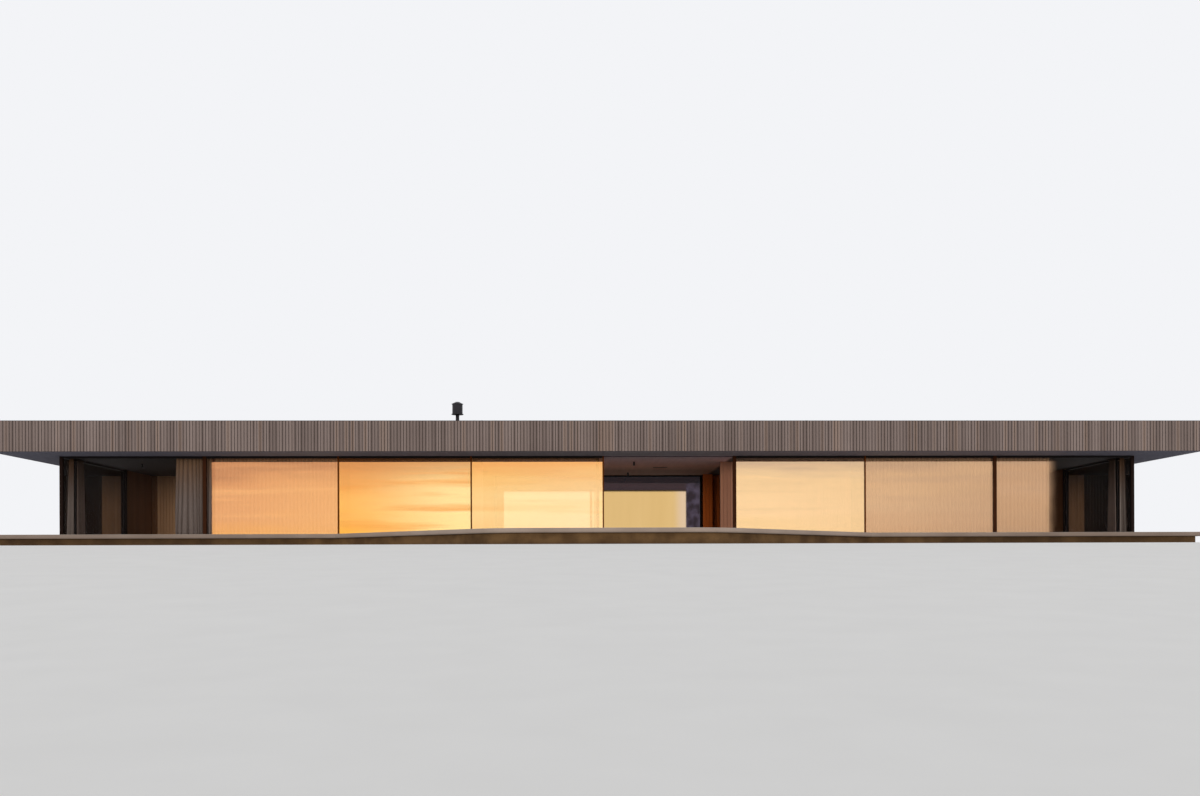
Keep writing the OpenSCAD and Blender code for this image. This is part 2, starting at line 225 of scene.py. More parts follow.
world = bpy.data.worlds.new("studio")
bpy.context.scene.world = world
world.use_nodes = True
world_tree = world.node_tree
lit = world_tree.nodes["Background"]
lit.inputs["Color"].default_value = (0.93, 0.96, 1.0, 1)
lit.inputs["Strength"].default_value = 0.62
shown = world_tree.nodes.new("ShaderNodeBackground")
shown.inputs["Color"].default_value = rgb(243, 244, 247)
shown.inputs["Strength"].default_value = 1.0
light_path = world_tree.nodes.new("ShaderNodeLightPath")
camera_ray, mirror_ray, glass_ray = (
    Socket(world_tree, light_path.outputs[name])
    for name in ("Is Camera Ray", "Is Glossy Ray", "Is Transmission Ray")
)
backdrop = world_tree.nodes.new("ShaderNodeMixShader")
seen = camera_ray.larger(mirror_ray).larger(glass_ray)
world_tree.links.new(seen.output, backdrop.inputs[0])
world_tree.links.new(lit.outputs[0], backdrop.inputs[1])
world_tree.links.new(shown.outputs[0], backdrop.inputs[2])
world_tree.links.new(backdrop.outputs[0], world_tree.nodes["World Output"].inputs["Surface"])

glow_height = 4
glow_spread = 12
for turn, strength in ((-24, 0.3), (0, 0.68), (24, 0.3)):
    tilt = math.radians(90 - glow_height)
    bpy.ops.object.light_add(type="SUN", rotation=(tilt, 0, math.radians(turn)))
    lamp = bpy.context.object
    lamp.name = "evening_glow"
    lamp.data.energy = strength
    lamp.data.angle = math.radians(glow_spread)
    lamp.data.color = (1.0, 0.94, 0.86)
    lamp.visible_glossy = False

bpy.context.scene.view_settings.view_transform = "Standard"


# Plinth
# Low foundation wall in ochre earth render, set back under the slab edge. It is cast in place, so its
# corners are a little soft. Its foot is stained by damp, and painted shade makes it darker towards both
# ends.
def ease(node, edge, segments=1):
    """A copy of a CAD node, its triangles joined into faces and its edges eased by edge metres."""
    bpy.ops.object.select_all(action="DESELECT")
    piece = bpy.data.objects.new(node + "_finished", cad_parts[node].data.copy())
    bpy.context.collection.objects.link(piece)
    piece.select_set(True)
    bpy.context.view_layer.objects.active = piece
    bpy.ops.object.mode_set(mode="EDIT")
    bpy.ops.mesh.select_all(action="SELECT")
    bpy.ops.mesh.remove_doubles(threshold=0.00002)
    bpy.ops.mesh.dissolve_limited(angle_limit=math.radians(0.5))
    bpy.ops.object.mode_set(mode="OBJECT")
    bevel = piece.modifiers.new("eased", "BEVEL")
    bevel.width = edge
    bevel.segments = segments
    bevel.limit_method = "ANGLE"
    bevel.angle_limit = math.radians(40)
    bpy.ops.object.modifier_apply(modifier=bevel.name)
    return piece


def dress(piece, finish, slot, *nodes, body="house"):
    """Gives a new piece its finish and its body, and hides the CAD nodes that it stands for."""
    piece.data.materials.clear()
    piece.data.materials.append(finish.material)
    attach(piece, body)
    if nodes:
        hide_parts(*nodes)


earth = Finish("earth_render", roughness=0.95)
foot = 1 - earth.z.step(0.0, 0.11)
tone = earth.noise(3.0, detail=6).step(0.3, 0.7).mix(rgb(88, 64, 39), rgb(122, 93, 60))
# Painted shade towards both ends of the house.
painted_end_shade = earth.x.away().step(4, 8)
tone = (painted_end_shade * 0.5).mix(tone, rgb(58, 42, 27))
earth.feed("Base Color", (foot * 0.55).mix(tone, rgb(66, 49, 34)))
earth.bump(earth.noise(22, detail=8), 0.012)
for node in ("house_plinth", "terrace_plinth"):
    dress(ease(node, 0.006, segments=2), earth, "plinth", node)


# Floor slab
# Pale concrete slab, 150 mm thick at full size, cast in bays with a saw cut at each mullion. The
# terrace is the same slab carried on past the roof edge. Its top is trowelled smooth and paler than
# the edge, which rain has darkened along its foot. Painted shade makes the edge darker at both ends.
bay_w = 2.51
concrete = Finish("cast_concrete", roughness=0.75)
cloudy = concrete.noise(1.3, detail=6)
fine = concrete.noise(30, detail=4)
saw_cut = 0.0008
cut = (concrete.x / bay_w).near_whole(saw_cut).larger((concrete.y / bay_w).near_whole(saw_cut))
top_side = concrete.z.step(floor_top - 0.004, floor_top - 0.001)
drip = 1 - concrete.z.step(floor_top - 0.075, floor_top - 0.04)
edge_tone = cloudy.step(0.25, 0.75).mix(rgb(156, 138, 125), rgb(182, 163, 150))
edge_tone = (fine * 0.35).mix(edge_tone, rgb(132, 119, 109))
edge_tone = (drip * 0.5).mix(edge_tone, rgb(106, 90, 77))
# Painted shade on the edge towards both ends of the house.
painted_end_shade = concrete.x.away().step(3, 8)
edge_tone = (painted_end_shade * 0.5).mix(edge_tone, rgb(112, 94, 82))
top_tone = cloudy.step(0.2, 0.8).mix(rgb(176, 166, 154), rgb(198, 189, 178))
top_tone = (fine * 0.3).mix(top_tone, rgb(160, 150, 139))
top_tone = (cut * 0.7).mix(top_tone, rgb(84, 77, 71))
concrete.feed("Base Color", top_side.mix(edge_tone, top_tone))
concrete.bump(fine - cut * top_side, 0.002)
for node in ("house_slab", "terrace_slab"):
    dress(ease(node, 0.003, segments=2), concrete, "concrete", node)


# Inner floor
# Pale soaped boards that run the length of the house, level with the terrace outside.
def board_tones(finish, across, width, grain_stretch, dark, light, own_share=0.5):
    """Timber tone with its own shade for each board, and the joints and grain for the bump."""
    row = across / width
    grain = finish.noise(7, stretch=grain_stretch, detail=7)
    tone = (finish.chance(row.floor()) * own_share + grain * (1 - own_share)).mix(dark, light)
    return tone, row.near_whole(0.025), grain


boards = Finish("pale_boards", roughness=0.5)
wood, joint, grain = board_tones(
    boards, boards.y, 0.09, (0.12, 3, 1), rgb(186, 160, 128), rgb(216, 192, 160)
)
boards.feed("Base Color", joint.mix(wood, rgb(92, 74, 58)))
boards.bump(grain * 0.3 - joint, 0.003)
dress(ease("interior_floor", 0.001), boards, "floor_boards", "interior_floor")


# Soffit and ceiling
# Stained sheets under the whole roof, at one level inside and out, with a fine open joint at each
# mullion and the glass line. Outside they are violet grey. Inside they are brown, warmer towards the
# back, with painted light over the living room, brightest a little way in from the glass, and painted
# shade that makes them darker over the wings.
def add_blocks(name, boxes):
    """One piece made of cube primitives, each between its own low and high corner."""
    bpy.ops.object.select_all(action="DESELECT")
    for low, high in boxes:
        middle = (Vector(low) + Vector(high)) / 2
        size = Vector(high) - Vector(low)
        bpy.ops.mesh.primitive_cube_add(size=1, location=middle, scale=size)
        if bpy.context.object.mode == "OBJECT":
            piece = bpy.context.object
            piece.name = name
            bpy.ops.object.transform_apply(location=True, rotation=False, scale=True)
            bpy.ops.object.mode_set(mode="EDIT")
    bpy.ops.object.mode_set(mode="OBJECT")
    return piece


def soften(width, segments=1):
    """Bevels every edge of the active piece."""
    bpy.ops.object.mode_set(mode="EDIT")
    bpy.ops.mesh.select_all(action="SELECT")
    bpy.ops.mesh.bevel(offset=width, segments=segments, affect="EDGES")
    bpy.ops.object.mode_set(mode="OBJECT")


glass_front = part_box("front_mullions")[0].y
rear_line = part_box("rear_wall_left")[1].y
room_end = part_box("right_side_frame")[1].x
lining_low, lining_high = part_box("ceiling_lining")
open_joint = 0.0015
inner_step = (rear_line - glass_front) / 4
joints_x = [lining_low.x, -room_end, *(bay_w * n for n in range(-3, 4)), room_end, lining_high.x]
joints_y = [
    lining_low.y,
    *(glass_front + inner_step * n for n in range(5)),
    (rear_line + lining_high.y) / 2,
    lining_high.y,
]
outdoors, indoors = [], []
for left, right in zip(joints_x, joints_x[1:]):
    for near, far in zip(joints_y, joints_y[1:]):
        sheltered = abs(left + right) / 2 < room_end and glass_front < (near + far) / 2 < rear_line
        sheet = (
            (left + open_joint, near + open_joint, lining_low.z),
            (right - open_joint, far - open_joint, lining_high.z),
        )
        (indoors if sheltered else outdoors).append(sheet)

soffit = Finish("stained_soffit", roughness=0.85, shine=0.15)
streaks = soffit.noise(5, stretch=(3, 0.2, 1), detail=6)
lighter = streaks.mix(rgb(132, 130, 142), rgb(156, 153, 164))
darker = streaks.mix(rgb(112, 112, 128), rgb(134, 133, 150))
soffit.feed("Base Color", soffit.x.away().step(4.5, 7).mix(lighter, darker))
soffit.bump(streaks, 0.0008)
outer_sheets = add_blocks("soffit_sheets", outdoors)
soften(0.001)
dress(outer_sheets, soffit, "soffit", "ceiling_lining")

stained = Finish("stained_ceiling", roughness=0.85, shine=0.15)
streaks = stained.noise(5, stretch=(3, 0.2, 1), detail=6)
# Painted light: the living room's sheets are brightest a little way in from the glass and darker
# towards the back.
living = stained.place.node(
    "ValToRGB",
    {
        "stops": [
            (0.0, rgb(190, 176, 196)),
            (0.22, rgb(237, 202, 208)),
            (0.48, rgb(244, 194, 178)),
            (0.7, rgb(192, 151, 130)),
        ]
    },
    {0: (stained.y - glass_front) / (rear_line - glass_front)},
)
# Painted shade: the wing sheets are the same stained sheets, darker.
wing_painted_shade = rgb(92, 90, 93)
living_half = 2.45
tone = stained.x.away().step(living_half, living_half + 0.1).mix(living, wing_painted_shade)
stained.feed("Base Color", (streaks * 0.24).mix(tone, rgb(40, 34, 32)))
stained.bump(streaks, 0.0008)
inner_sheets = add_blocks("ceiling_sheets", indoors)
soften(0.001)
dress(inner_sheets, stained, "soffit", "ceiling_lining")


# Roof
# Laminated beams carry a deck covered with dark membrane, laid in sheets from front to back with a
# welded lap between them.
glulam = Finish("laminated_timber", roughness=0.6)
layers = glulam.noise(10, stretch=(1, 0.1, 6), detail=4)
glulam.feed("Base Color", layers.mix(rgb(140, 104, 72), rgb(178, 140, 100)))
dress(ease("roof_beams", 0.002), glulam, "structural_timber", "roof_beams")

sheet_w = 0.75
lap_w = 0.06
lap_h = 0.003
membrane = Finish("roof_membrane", roughness=0.85)
dust = membrane.noise(0.8, detail=7)
sheet_tone = membrane.chance((membrane.x / sheet_w).floor())
grey = (dust * 0.7 + sheet_tone * 0.3).mix(rgb(74, 74, 78), rgb(98, 97, 98))
membrane.feed("Base Color", grey)
membrane.bump(membrane.noise(60, detail=2), 0.0006)
dress(ease("roof_deck", 0.002), membrane, "roofing", "roof_deck")
deck_low, deck_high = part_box("roof_deck")


def repeat(count, step):
    """Copies the active piece count times in a row, step apart, into one mesh."""
    array = bpy.context.object.modifiers.new("row", "ARRAY")
    array.count = count
    array.use_relative_offset = False
    array.use_constant_offset = True
    array.constant_offset_displace = step
    bpy.ops.object.modifier_apply(modifier=array.name)


lap_count = int((deck_high.x - deck_low.x) / sheet_w)
first_lap_x = -sheet_w * (lap_count - 1) / 2
laps = add_blocks(
    "roof_laps",
    [
        (
            (first_lap_x - lap_w / 2, deck_low.y + 0.03, deck_high.z),
            (first_lap_x + lap_w / 2, deck_high.y - 0.03, deck_high.z + lap_h),
        )
    ],
)
soften(0.001)
repeat(lap_count, (sheet_w, 0, 0))
dress(laps, membrane, "roofing")


# Fascia
# Sawn timber battens, weathered grey-brown, fixed upright on a dark backing board all round the roof.
# The faces lie 15 mm in front of the backing, and each batten has its own tone and a small error.
batten_pitch = 0.0575
batten_w = 0.0465
batten_d = 0.015
batten_edge = 0.0025
batten_error = 0.0025


def batten_finish(name, along):
    """Weathered timber, with its own tone for each batten along axis x or y."""
    timber = Finish(name, roughness=0.85, shine=0.3)
    number = ((timber.x if along == "x" else timber.y) / batten_pitch).floor()
    grain = timber.noise(14, stretch=(5, 5, 0.35), detail=6)
    weather = timber.noise(0.45, stretch=(1, 1, 2), detail=3)
    shade = timber.chance(number) * 0.5 + grain * 0.26 + weather * 0.4 - 0.1
    tone = shade.mix(rgb(103, 89, 84), rgb(157, 140, 134))
    newer = timber.chance(number + 0.37).step(0.74, 0.95)
    tone = (newer * 0.35).mix(tone, rgb(160, 133, 115))
    timber.feed("Base Color", tone)
    timber.bump(grain, 0.0015)
    return timber


def batten_row(name, low, high, along, rng):
    """Battens side by side that fill the box from low to high along axis x or y."""
    axis = 0 if along == "x" else 1
    out = 1 - axis
    length = high[axis] - low[axis]
    count = round(length / batten_pitch)
    pitch = (length - batten_w) / (count - 1)
    first_high = Vector(high)
    first_high[axis] = low[axis] + batten_w
    row = add_blocks(name, [(low, first_high)])
    soften(batten_edge)
    step = [0.0, 0.0, 0.0]
    step[axis] = pitch
    repeat(count, step)
    points = np.empty(len(row.data.vertices) * 3)
    row.data.vertices.foreach_get("co", points)
    points = points.reshape(-1, 3)
    number = np.clip(((points[:, axis] - low[axis]) / pitch).astype(int), 0, count - 1)
    outward = np.sign(low[out])
    on_face = points[:, out] * outward > (low[out] + high[out]) / 2 * outward
    points[:, out] -= outward * rng.uniform(0, batten_error, count)[number] * on_face
    row.data.vertices.foreach_set("co", points.ravel())
    row.data.update()
    return row


rng = np.random.default_rng(7)
backing = Finish("dark_backing", roughness=0.9, shine=0.2)
backing.feed("Base Color", backing.noise(8).mix(rgb(64, 56, 52), rgb(78, 69, 64)))
weathered = {along: batten_finish("weathered_battens_" + along, along) for along in ("x", "y")}
roof_low, roof_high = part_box("fascia_front")[0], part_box("fascia_back")[1]
backing_d = 0.036
fascias = {
    "fascia_front": ("x", roof_low.y, 1),
    "fascia_back": ("x", roof_high.y, -1),
    "fascia_left": ("y", roof_low.x, 1),
    "fascia_right": ("y", roof_high.x, -1),
}
for node, (along, face, inward) in fascias.items():
    axis = 0 if along == "x" else 1
    out = 1 - axis
    low, high = (Vector(corner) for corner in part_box(node))
    low[out], high[out] = sorted((face, face + inward * batten_d))
    if along == "y":
        low.y, high.y = roof_low.y + batten_d + 0.01, roof_high.y - batten_d - 0.01
    row = batten_row(node + "_battens", low, high, along, rng)
    dress(row, weathered[along], "batten_timber", node)

    low, high = (Vector(corner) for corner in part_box(node))
    low[out], high[out] = sorted((face + inward * batten_d, face + inward * backing_d))
    if along == "x":
        low.x, high.x = low.x + batten_d, high.x - batten_d
    board = add_blocks(node + "_backing", [(low, high)])
    soften(0.001)
    dress(board, backing, "batten_timber", node)


# Capping
# Dark folded metal on top of the fascia, in lengths of three metres at full size, with a cover plate
# over each joint.
folded = Finish("folded_metal", roughness=0.45, metallic=0.6)
folded.feed("Base Color", folded.noise(3, detail=4).mix(rgb(58, 54, 56), rgb(78, 73, 74)))
cap_low, cap_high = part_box("parapet_capping")
cap_w = 0.06
cap_length = 1.5
cap_gap = 0.001
plate_w = 0.04
plate_h = 0.0012
lengths = []
plates = []
for axis, start, end in ((0, cap_low.x, cap_high.x), (1, cap_low.y + cap_w, cap_high.y - cap_w)):
    count = round((end - start) / cap_length)
    size = (end - start) / count
    for rim in (cap_low[1 - axis], cap_high[1 - axis] - cap_w):
        for number in range(count):
            low = [0.0, 0.0, cap_low.z]
            high = [0.0, 0.0, cap_high.z]
            low[axis] = start + number * size + cap_gap
            high[axis] = start + (number + 1) * size - cap_gap
            low[1 - axis], high[1 - axis] = rim, rim + cap_w
            lengths.append((low, high))
            if number:
                low, high = list(low), list(high)
                low[axis], high[axis] = (start + number * size + side * plate_w / 2 for side in (-1, 1))
                low[2], high[2] = cap_high.z, cap_high.z + plate_h
                plates.append((low, high))
capping = add_blocks("capping_lengths", lengths)
soften(0.0012)
dress(capping, folded, "capping_metal", "parapet_capping")
covers = add_blocks("capping_covers", plates)
soften(0.0004)
dress(covers, folded, "capping_metal")


# Frames of the glass walls
# Aluminium bars with eased arrises, brown bronze on the mullions and almost black on the others. The
# mullions run from floor to ceiling, and the wide ones and the corner posts are darker: the slim ones
# carry painted golden light from the panes beside them, the wide ones show the plain bronze, and the
# corner posts hold painted shade. Curtain tracks and the sliding leaf's rail and guide are matt black.
bronze = Finish("brown_bronze", roughness=0.6, shine=0.06)
patchy = bronze.noise(5, detail=3)
# Painted golden light from the panes on the slim mullions; the wide ones keep the plain bronze.
slim_painted_glow = patchy.mix(rgb(94, 44, 4), rgb(112, 56, 10))
wide_tone = patchy.mix(rgb(54, 28, 14), rgb(70, 38, 20))
from_middle = bronze.x.away()
outer = from_middle.step(6, 6.1)
beside_open_bay = 1 - (bronze.x - bay_w).away().step(1, 1.1)
# Painted shade on the corner posts.
corner_painted_shade = from_middle.step(9.5, 9.6)
tone = outer.larger(beside_open_bay).mix(slim_painted_glow, wide_tone)
bronze.feed("Base Color", corner_painted_shade.mix(tone, rgb(36, 24, 20)))
bronze.bump(bronze.noise(300, detail=1), 0.0001)
dress(ease("front_mullions", 0.0015), bronze, "bronze_frame", "front_mullions")

dark_bronze = Finish("dark_bronze", roughness=0.5, metallic=0.2, shine=0.2)
dark_bronze.feed("Base Color", dark_bronze.noise(5, detail=3).mix(rgb(20, 15, 15), rgb(30, 23, 22)))
dark_bronze.bump(dark_bronze.noise(300, detail=1), 0.0001)
for node in (
    "front_rails",
    "left_side_frame",
    "right_side_frame",
    "left_side_post",
    "right_side_post",
    "rear_frame",
):
    dress(ease(node, 0.0015), dark_bronze, "bronze_frame", node)
leaf = ease("sliding_door_frame", 0.0015)
dress(leaf, dark_bronze, "bronze_frame", "sliding_door_frame", body="sliding_door")

matt_black = Finish("matt_black_metal", roughness=0.5, metallic=0.3)
matt_black.feed("Base Color", matt_black.noise(6).mix(rgb(24, 21, 20), rgb(34, 30, 29)))
for node in ("door_floor_rail", "door_head_guide", "curtain_tracks"):
    dress(ease(node, 0.0008), matt_black, "dark_metal", node)


# Front glass
# Large panes of insulating glass in black gaskets, mirror-like, with a painted golden reflection of
# the evening sky in soft level bands and streaks and a painted glow. At the head is a dark strip, where
# the soffit is mirrored and, below that, painted as a reflection. Light falls through the panes on what
# is behind them, and the painted reflection and glow give way to clear glass at both ends of the house.
def let_light_through(pane):
    """Keeps the shade of a pane off the rooms behind it, and its glow out of other mirrors."""
    pane.visible_shadow = False
    pane.visible_diffuse = False
    pane.visible_glossy = False


pane_low, pane_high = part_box("front_glass")
room_h = lining_low.z - floor_top
head_shade = 0.075
soffit_shade = 0.05


def painted_reflection_glass(bay, tones, cover, glow, streaky, clear=None):
    """Glass with a painted golden reflection and a painted glow, in four tones from head to foot, one
    for streaks and one for its right side.

    Each face of the pane hides the share cover of what is behind it. From the first to the second
    place in clear, the painted reflection and glow give way to clear glass.
    """
    glass = Finish("glass_" + bay, roughness=0.04, metallic=1.0)
    tones = [rgb(*tone) for tone in tones]
    head_tone, high_tone, low_tone, foot_tone, streak_tone, right_tone = tones
    height = (glass.z - floor_top) / room_h
    # The cloud and wisp noises are painted reflections of evening clouds.
    cloud = glass.noise(1.6, stretch=(0.22, 1, 1.5), detail=5) - 0.5
    wisp = glass.noise(4.5, stretch=(0.12, 1, 2.2), detail=4) - 0.5
    tone = glass.place.node(
        "ValToRGB",
        {"stops": [(0.02, foot_tone), (0.3, low_tone), (0.66, high_tone), (0.95, head_tone)]},
        {0: height + cloud * 0.75 + wisp * 0.22},
    )
    to_right = glass.x.step(*bays[bay]) * (1 - height.step(0.5, 1.1))
    tone = (to_right * 0.6).mix(tone, right_tone)
    bands = glass.noise(1.9, stretch=(0.15, 1, 2.7), detail=3).step(0.46, 0.7)
    tone = (bands * streaky).mix(tone, streak_tone)
    # In a strip at the head the painted glow stops. Below the mirrored soffit, the strip is painted
    # dark as a painted reflection of it.
    shaded = glass.z.step(pane_high.z - head_shade, pane_high.z - head_shade + 0.004)
    mirrored_soffit = glass.z.step(pane_high.z - soffit_shade - 0.002, pane_high.z - soffit_shade)
    glow_tone = shaded.mix(tone, (0, 0, 0, 1))
    tone = (shaded - mirrored_soffit).mix(tone, rgb(68, 41, 32))
    if clear is None:
        glass.set("Alpha", cover)
    else:
        # Past clear, the painted reflection and glow stop and the glass is clear.
        wander = (glass.noise(3.0, detail=2) - 0.5) * (clear[1] - clear[0]) * 0.4
        unpainted_glass = (glass.x + wander).step(*clear)
        tone = unpainted_glass.mix(tone, rgb(40, 30, 24))
        glow_tone = unpainted_glass.mix(glow_tone, (0, 0, 0, 1))
        glass.feed("Alpha", cover - unpainted_glass * (cover - 0.05))
    glass.feed("Base Color", tone)
    glass.feed("Emission Color", glow_tone)
    glass.set("Emission Strength", glow)
    return glass


def clear_glass(name, tone, cover, shine=0.5):
    """Faintly smoked glass."""
    glass = Finish(name, roughness=0.03, shine=shine)
    darker = tuple(0.85 * value for value in tone[:3])
    glass.feed("Base Color", glass.noise(0.7).mix(tone, (*darker, 1)))
    glass.set("Alpha", cover)
    return glass


wide_half, slim_half = 0.032, 0.012
# Tones of the painted golden reflection and glow in each bay: head, high, low, foot, streaks, right
# side.
left_sheer_tones = (
    (184, 122, 84),
    (222, 153, 100),
    (228, 160, 106),
    (236, 166, 96),
    (252, 192, 126),
    (244, 178, 112),
)
left_gold_tones = (
    (208, 140, 82),
    (236, 164, 88),
    (248, 180, 94),
    (248, 176, 72),
    (234, 150, 66),
    (255, 242, 176),
)
middle_gold_tones = (
    (242, 172, 98),
    (250, 196, 120),
    (252, 210, 142),
    (252, 200, 130),
    (248, 180, 98),
    (248, 204, 150),
)
right_gold_tones = (
    (206, 173, 139),
    (242, 204, 152),
    (250, 210, 157),
    (244, 204, 146),
    (230, 190, 140),
    (238, 197, 146),
)
right_sheer_tones = (
    (206, 166, 131),
    (234, 188, 142),
    (228, 184, 142),
    (222, 174, 132),
    (216, 172, 134),
    (194, 154, 122),
)
end_sheer_tones = (
    (194, 156, 125),
    (211, 167, 130),
    (203, 160, 123),
    (198, 156, 121),
    (202, 156, 116),
    (200, 158, 122),
)
bays = {
    "left_end": (pane_low.x, -3 * bay_w - wide_half),
    "left_sheer": (-3 * bay_w + wide_half, -2 * bay_w - slim_half),
    "left_gold": (-2 * bay_w + slim_half, -bay_w - slim_half),
    "middle_gold": (-bay_w + slim_half, -slim_half),
    "right_gold": (bay_w + wide_half, 2 * bay_w - slim_half),
    "right_sheer": (2 * bay_w + slim_half, 3 * bay_w - wide_half),
    "right_end": (3 * bay_w + wide_half, pane_high.x),
}
left_clear = (-7.385, -7.42)
right_clear = (8.5, 8.8)
glasses = {
    "left_end": clear_glass("glass_left_end", rgb(34, 26, 22), cover=0.1, shine=0.1),
    "left_sheer": painted_reflection_glass(
        "left_sheer", left_sheer_tones, cover=0.54, glow=0.3, streaky=0.4, clear=left_clear
    ),
    "left_gold": painted_reflection_glass("left_gold", left_gold_tones, cover=0.6, glow=0.4, streaky=0.7),
    "middle_gold": painted_reflection_glass("middle_gold", middle_gold_tones, cover=0.46, glow=0.52, streaky=0.4),
    "right_gold": painted_reflection_glass("right_gold", right_gold_tones, cover=0.6, glow=0.33, streaky=0.4),
    "right_sheer": painted_reflection_glass("right_sheer", right_sheer_tones, cover=0.46, glow=0.15, streaky=0.4),
    "right_end": painted_reflection_glass(
        "right_end", end_sheer_tones, cover=0.46, glow=0.15, streaky=0.3, clear=right_clear
    ),
}
gasket_y = pane_low.y - 0.003
head_gasket, foot_gasket, side_gasket = 0.004, 0.006, 0.002
gaskets = []
for bay, (left, right) in bays.items():
    pane = add_blocks(
        "glass_" + bay, [((left, pane_low.y, pane_low.z), (right, pane_high.y, pane_high.z))]
    )
    soften(0.001)
    let_light_through(pane)
    dress(pane, glasses[bay], "clear_glass" if "end" in bay else "front_glass", "front_glass")
    for low_x, high_x, low_z, high_z in (
        (left, right, pane_high.z - head_gasket, pane_high.z),
        (left, right, pane_low.z, pane_low.z + foot_gasket),
        (left, left + side_gasket, pane_low.z, pane_high.z),
        (right - side_gasket, right, pane_low.z, pane_high.z),
    ):
        gaskets.append(((low_x, gasket_y, low_z), (high_x, pane_low.y, high_z)))
gasket = add_blocks("front_gaskets", gaskets)
soften(0.0008)
dress(gasket, matt_black, "dark_metal")


# Rear, side and sliding glass
# The inner face of the rear glass carries a painted golden reflection low down. Above it, a painted dim
# band and a darker head band glow faintly as painted light, as does a dusky end on the right. Its outer
# face is plain. The side panes are dark mirrors, and the sliding leaf is almost clear.
rear_low, rear_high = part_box("rear_glass")
face_gap = 0.003
gold_top = 1.425
painted_head_band_foot = 1.585
gold_end = 2.0
rear_glass = Finish("glass_rear", roughness=0.03, metallic=1.0)
inside = 1 - rear_glass.y.step(rear_low.y + face_gap, rear_high.y - face_gap)
# Painted golden reflection on the inner face, paler towards the left and near its right end.
gold = rear_glass.noise(1.6, stretch=(2.2, 1, 0.25)).mix(rgb(228, 187, 118), rgb(240, 201, 136))
gold = rear_glass.x.step(-0.3, 0.1).mix(rgb(250, 226, 198), gold)
gold = (rear_glass.x.step(gold_end - 0.3, gold_end - 0.05) * 0.5).mix(gold, rgb(238, 214, 196))
high_part = rear_glass.z.step(gold_top, gold_top + 0.025)
end_part = rear_glass.x.step(gold_end, gold_end + 0.05)
painted_head_band = rear_glass.z.step(painted_head_band_foot, painted_head_band_foot + 0.02)
dim = high_part.larger(end_part)
rear_glass.feed("Base Color", inside.mix(rgb(150, 144, 138), dim.mix(gold, rgb(84, 72, 84))))
rear_glass.feed("Alpha", 0.93 + inside * (0.05 - dim * 0.15 - painted_head_band * 0.36))
# Painted dusk light: the dim band, the head band and the right end glow faintly.
blotches = rear_glass.noise(5, detail=3).step(0.35, 0.65)
end_dusk = blotches.mix(rgb(42, 32, 40), rgb(80, 70, 86))
dusk = painted_head_band.mix(end_part.mix(rgb(52, 38, 41), end_dusk), rgb(40, 38, 44))
rear_glass.feed("Emission Color", (inside * dim).mix((0, 0, 0, 1), dusk))
rear_glass.set("Emission Strength", 1)

leaf_glass = clear_glass("glass_leaf", rgb(120, 100, 80), cover=0.08)
side_glass = Finish("glass_side", roughness=0.02, metallic=1.0)
side_glass.feed("Base Color", side_glass.noise(0.7).mix(rgb(146, 140, 134), rgb(156, 150, 144)))
side_glass.set("Alpha", 0.93)
for node, finish, body in (
    ("rear_glass", rear_glass, "house"),
    ("left_side_glass", side_glass, "house"),
    ("right_side_glass", side_glass, "house"),
    ("sliding_door_glass", leaf_glass, "sliding_door"),
):
    pane = ease(node, 0.001)
    let_light_through(pane)
    dress(pane, finish, "clear_glass", node, body=body)


# Timber walls
# Upright boards with a small joint between them, fixed on both sides of a dark core: brown at the
# ends, reddish in the galleries and orange beside the rear glass. The rear wall's lining is orange,
# dark brown, tan and brown from the middle outwards, and its outside has the fascia's battens.
wall_board_w = 0.07
wall_joint = 0.003


def board_finish(name, along, dark, light):
    timber = Finish(name, roughness=0.6, shine=0.3)
    across = timber.x if along == "x" else timber.y
    tone, joint, grain = board_tones(timber, across, wall_board_w, (4, 4, 0.3), dark, light)
    timber.feed("Base Color", tone)
    timber.bump(grain, 0.001)
    return timber


def boarded_wall(name, low, high, along, finish, slot, *nodes):
    """Upright boards through the thickness of a wall, between two corners, and the core."""
    axis = 0 if along == "x" else 1
    low, high = Vector(low), Vector(high)
    length = high[axis] - low[axis]
    count = max(1, round(length / wall_board_w))
    pitch = length / count
    first_high = high.copy()
    first_high[axis] = low[axis] + pitch - wall_joint
    wall = add_blocks(name, [(low, first_high)])
    soften(0.003)
    step = [0.0, 0.0, 0.0]
    step[axis] = pitch
    repeat(count, step)
    dress(wall, finish, slot, *nodes)
    core_low, core_high = low.copy(), high.copy()
    core_low[1 - axis] += 0.008
    core_high[1 - axis] -= 0.008
    core_high[axis] -= wall_joint
    core = add_blocks(name + "_core", [(core_low, core_high)])
    soften(0.001)
    dress(core, backing, slot, *nodes)


brown = board_finish("brown_boards", "y", rgb(104, 68, 44), rgb(146, 102, 70))
gallery = board_finish("gallery_boards", "x", rgb(141, 95, 72), rgb(181, 128, 102))
orange = board_finish("orange_boards", "x", rgb(168, 80, 27), rgb(210, 106, 40))
dark_brown = board_finish("dark_brown_boards", "x", rgb(48, 31, 21), rgb(68, 46, 32))
tan = board_finish("tan_boards", "x", rgb(174, 132, 98), rgb(204, 160, 122))
lining_d = 0.04
field_ends = [
    ("orange", 5.02, orange),
    ("dark", 9.09, dark_brown),
    ("tan", 10.056, tan),
    ("end", 11, brown),
]

